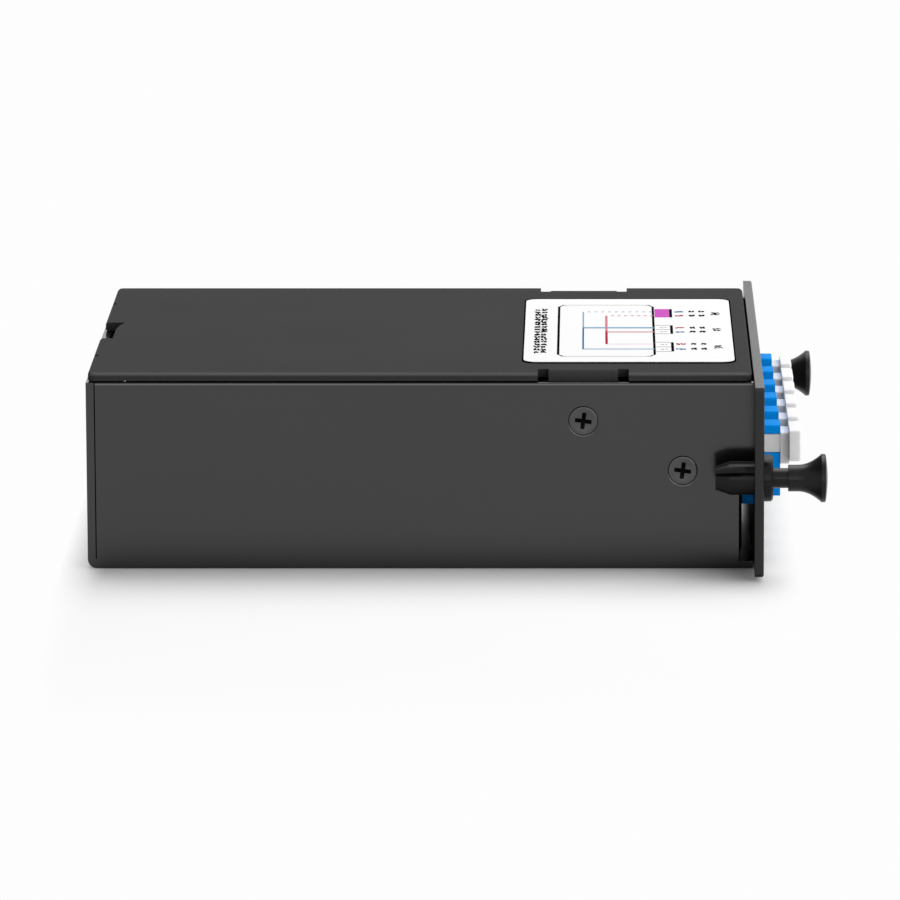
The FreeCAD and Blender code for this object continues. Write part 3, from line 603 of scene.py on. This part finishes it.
def label_layer(name, outline, bottom, top, material):
    """A flat sheet of the label, standing for its CAD node."""
    work = bmesh.new()
    base = work.faces.new([work.verts.new((x, y, bottom)) for x, y in outline])
    raised = bmesh.ops.extrude_face_region(work, geom=[base])
    moved = [v for v in raised["geom"] if isinstance(v, bmesh.types.BMVert)]
    bmesh.ops.translate(work, verts=moved, vec=(0, 0, top - bottom))
    bmesh.ops.recalc_face_normals(work, faces=work.faces)
    layer = new_piece(name, closed(work, name), "cassette", material)
    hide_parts("label")


# Painted shadow: a black sheet a little larger than the film lies under it and shows as a dark rim round the
# label.
shadow_rim_outline = rounded_outline(label_low - border, label_high + border, shadow_rim_corner)
film_outline = rounded_outline(label_low, label_high, film_corner)
label_layer("label_shadow_rim", shadow_rim_outline, label_low.z, shadow_rim_top, shadow_rim_black)
label_layer("label_sheet", film_outline, shadow_rim_top, film_top, film_white)


# ---- print on the label -------------------------------------------------------
def ink_cube(ink):
    """A bar of ink one millimetre square, lying on the film; each ink lies a hair above the last."""
    thickness = (0.01 + 0.002 * list(inks).index(ink)) * MM
    work = bmesh.new()
    bmesh.ops.create_cube(work, size=1, matrix=Matrix.Diagonal((MM, MM, thickness, 1)))
    bmesh.ops.translate(work, verts=work.verts, vec=(0, 0, film_top + thickness / 2))
    return closed(work, "ink_bar")


def about(middle, half):
    """A span reaching as far to each side of a middle."""
    return (middle - half, middle + half)


class Print:
    """Marks in one ink, in millimetres along from the label's rear edge and across from its middle."""

    def __init__(self, ink):
        self.ink = ink
        self.cube = ink_cube(ink)
        self.work = bmesh.new()

    def spot(self, along, across):
        return Vector((label_low.x + along * MM, label_middle + across * MM, 0))

    def take(self, mesh, place=None):
        before = len(self.work.verts)
        self.work.from_mesh(mesh)
        self.work.verts.ensure_lookup_table()
        if place is not None:
            bmesh.ops.transform(self.work, matrix=place, verts=self.work.verts[before:])

    def mark(self, along, across, length, width, turn=0.0):
        """A filled bar about a point; turn is in degrees in the label's plane."""
        spin = Matrix.Rotation(math.radians(turn), 4, "Z")
        size = Matrix.Diagonal((length, width, 1, 1))
        self.take(self.cube, Matrix.Translation(self.spot(along, across)) @ spin @ size)

    def bar(self, along, across):
        """A filled bar between two values each way."""
        middle = ((along[0] + along[1]) / 2, (across[0] + across[1]) / 2)
        self.mark(*middle, abs(along[1] - along[0]), abs(across[1] - across[0]))

    def dashes(self, along, across, length, width, step, count):
        """A dashed line towards the ports."""
        dash = self.cube.copy()
        dash.transform(Matrix.Diagonal((length, width, 1, 1)))
        start = self.spot(along, across)
        self.take(row_tree.grow(dash, inks[self.ink], Count=count, Start=start, Step=(step * MM, 0, 0)))

    def strokes(self, along, across, seed, columns, rows, steps, shift, least, most, lean):
        """Strokes scattered about a grid that starts here, where words would stand."""
        self.take(stroke_tree.grow(
            self.cube,
            inks[self.ink],
            Start=self.spot(along, across),
            Columns=columns,
            Rows=rows,
            Column_Step=(steps[0] * MM, 0, 0),
            Row_Step=(0, steps[1] * MM, 0),
            Shift=(shift[0] * MM, shift[1] * MM, 0),
            Least=(*least, 1),
            Most=(*most, 1),
            Lean=math.radians(lean),
            Seed=seed,
        ))

    def finish(self):
        name = "print_" + self.ink
        new_piece(name, closed(self.work, name), "cassette", inks[self.ink])


# How the strokes stand in each kind of small print: their grid and its steps, how far each may
# shift, the least and most that it measures along and across, and how many degrees it may lean.
row_name = dict(
    columns=4, rows=1, steps=(0.42, 1), shift=(0.1, 0.25), least=(0.36, 0.8), most=(0.46, 1.4), lean=14
)
row_number = dict(
    columns=2, rows=2, steps=(0.5, 0.6), shift=(0.1, 0.25), least=(0.36, 0.9), most=(0.5, 1.4), lean=16
)
box_mark = dict(
    columns=3, rows=1, steps=(0.45, 1), shift=(0.1, 0.3), least=(0.2, 0.5), most=(0.4, 0.9), lean=20
)
box_name = dict(
    columns=4, rows=2, steps=(0.34, 1.6), shift=(0.1, 0.3), least=(0.28, 0.8), most=(0.4, 1.6), lean=30
)
title_line = dict(
    columns=2, rows=18, steps=(0.5, 2.5), shift=(0.14, 0.6), least=(0.26, 0.6), most=(0.4, 2.0), lean=18
)

prints = {name: Print(name) for name in inks}
black, grey, blue, pale_blue, red, pale_red, magenta = prints.values()

# The frame round the diagram, the two uprights in it and the rows that lead from them to the boxes.
frame_rear, frame_front = 6.1, 23.3
frame_low, frame_high = -26.6, 25.4
blue_upright, red_upright = 10.55, 14.75
dashed_blue, dashed_red, blue_row, red_row, thin_row, low_row = 18.3, 14.3, 1.9, -2.35, -14.5, -19.4
box_rear, box_front = 23.6, 26.3
box_spans = ((-21.8, -12.7), (-4.2, 4.4), (12.6, 21.2))


def print_frame():
    """Strong ends, faint sides and short slanting corners."""
    for along in (frame_rear, frame_front):
        black.bar(about(along, 0.22), (frame_low + 1.6, frame_high - 1.6))
    for across in (frame_low, frame_high):
        grey.bar((frame_rear + 1.2, frame_front - 1.2), about(across, 0.16))
    for along, inward in ((frame_rear, 1), (frame_front, -1)):
        for across, outward in ((frame_low, -1), (frame_high, 1)):
            black.mark(along + inward * 0.35, across - outward * 1.1, 0.32, 2.1, -inward * outward * 24)
            black.mark(along + inward * 0.95, across - outward * 0.12, 0.9, 0.4)


def print_runs():
    """Each upright is strong below its row and pale above it, and the rows lead on from them."""
    blue.bar(about(blue_upright, 0.15), (low_row - 0.4, blue_row))
    pale_blue.bar(about(blue_upright, 0.13), (blue_row, dashed_blue))
    red.bar(about(red_upright, 0.22), (thin_row, red_row + 1))
    pale_red.bar(about(red_upright, 0.22), (red_row + 1, dashed_red))
    pale_blue.bar((blue_upright, frame_front), about(blue_row, 0.65))
    pale_red.bar((red_upright, frame_front), about(red_row, 0.45))
    pale_red.bar((red_upright, frame_front), about(thin_row, 0.1))
    pale_blue.bar((blue_upright, frame_front), about(low_row, 0.4))
    pale_blue.dashes(11.6, dashed_blue, 0.55, 0.6, 1.25, 10)
    pale_red.dashes(15.9, dashed_red, 0.55, 0.7, 1.2, 7)


def print_boxes():
    """Two open boxes, each in two halves, and a filled one."""
    for low, high in box_spans:
        black.bar((box_front, box_front + 0.5), (low, high))
    *open_spans, filled_span = box_spans
    magenta.bar((box_rear, box_front), filled_span)
    for low, high in open_spans:
        middle = (low + high) / 2
        for across in (low, middle, high):
            grey.bar((box_rear, box_front), about(across, 0.22))
        for across in ((low + middle) / 2, (middle + high) / 2):
            grey.strokes(box_rear + 0.9, across, 3, **box_mark)


def print_words():
    """Small marks where the rows' names and numbers, the boxes' names and the title would stand."""
    rows = (dashed_blue, dashed_red, blue_row, red_row, thin_row, low_row)
    for seed, (across, ink) in enumerate(zip(rows, (blue, red, red, blue, red, blue))):
        ink.strokes(27.4, across, seed, **row_name)
        for along in (30.1, 31.9):
            black.strokes(along, across, seed + 20, **row_number)
    for seed, across in enumerate((15.7, -0.9, -18.0), 50):
        black.strokes(34.2, across, seed, **box_name)
    for first_seed, along in ((80, 2.0), (90, 3.2)):
        for layer in range(3):
            black.strokes(along, -22.3, first_seed + layer, **title_line)


print_frame()
print_runs()
print_boxes()
print_words()
for one_ink in prints.values():
    one_ink.finish()


# ---- floor, light and camera --------------------------------------------------
white_seen = (0.985, 0.985, 0.985, 1)


def beyond(value, low, high):
    """How far a value lies outside a span, and 0 inside it."""
    return (abs(value - (low + high) / 2) - (high - low) / 2).at_least(0.0)


def backdrop():
    """A pale floor that fades into the white surround, sooner off the ends than off the sides."""
    end_fade = 8 * MM
    side_fade = 120 * MM
    finish = new_finish("pale_floor")
    lit = finish.node("ShaderNodeBsdfDiffuse", inputs={"Color": (0.93, 0.93, 0.93, 1)})
    bright = finish.node("ShaderNodeEmission", inputs={"Color": white_seen, "Strength": 1.0})
    off_end = beyond(finish.along("X"), tray_low.x + 3 * MM, tray_high.x) / end_fade
    off_side = beyond(finish.along("Y"), -tray_high.y, tray_high.y) / side_fade
    share = finish.ranged((off_end * off_end + off_side * off_side) ** 0.5, 0.0, 1.0)
    mixed = finish.node("ShaderNodeMixShader", inputs=(share * finish.background_rays(), lit, bright))
    finish.node("ShaderNodeOutputMaterial", inputs={"Surface": mixed})
    work = bmesh.new()
    bmesh.ops.create_circle(work, cap_ends=True, segments=64, radius=3.0)
    mesh = closed(work, "floor")
    mesh.materials.append(finish.owner)
    floor = bpy.data.objects.new("floor", mesh)
    bpy.context.scene.collection.objects.link(floor)


def surround():
    """A little light from all round, and white behind all that is seen."""
    finish = Finish(bpy.data.worlds.new("surround"))
    bpy.context.scene.world = finish.owner
    soft = finish.node("ShaderNodeBackground", inputs={"Color": (1, 1, 1, 1), "Strength": 0.09})
    white = finish.node("ShaderNodeBackground", inputs={"Color": white_seen, "Strength": 1.0})
    mixed = finish.node("ShaderNodeMixShader", inputs=(finish.background_rays(), soft, white))
    finish.node("ShaderNodeOutputWorld", inputs={"Surface": mixed})


def softbox(name, place, target, width, height, power):
    """A soft rectangular lamp turned towards a target, in metres and watts."""
    light = bpy.data.lights.new(name, "AREA")
    light.shape = "RECTANGLE"
    light.size = width
    light.size_y = height
    light.energy = power
    lamp = bpy.data.objects.new(name, light)
    lamp.location = place
    lamp.rotation_euler = (Vector(target) - Vector(place)).to_track_quat("-Z", "Y").to_euler()
    bpy.context.scene.collection.objects.link(lamp)


def long_lens_camera():
    """A camera some way off, a little above the cassette and facing its near side."""
    camera = bpy.data.cameras.new("camera")
    camera.lens = 296.2
    camera.sensor_width = 36
    camera.shift_x = -0.158
    camera.clip_start = 0.05
    camera.clip_end = 20
    viewer = bpy.data.objects.new("camera", camera)
    viewer.location = (23.87 * MM, -1321.17 * MM, 274.08 * MM)
    viewer.rotation_euler = (math.radians(78.812), 0, 0)
    bpy.context.scene.collection.objects.link(viewer)
    return viewer


backdrop()
surround()
softbox("overhead", (0.2, 0.36, 0.95), (0, 0, 0), 1.2, 0.8, 12.0)
softbox("right", (0.75, -0.6, 0.4), (0.05, 0, 0.02), 1.0, 0.7, 5.4)
softbox("front", (0.1, -0.9, 0.2), (0.05, 0, 0.02), 0.6, 0.3, 1.0)
bpy.context.scene.camera = long_lens_camera()
bpy.context.scene.view_settings.view_transform = "Standard"
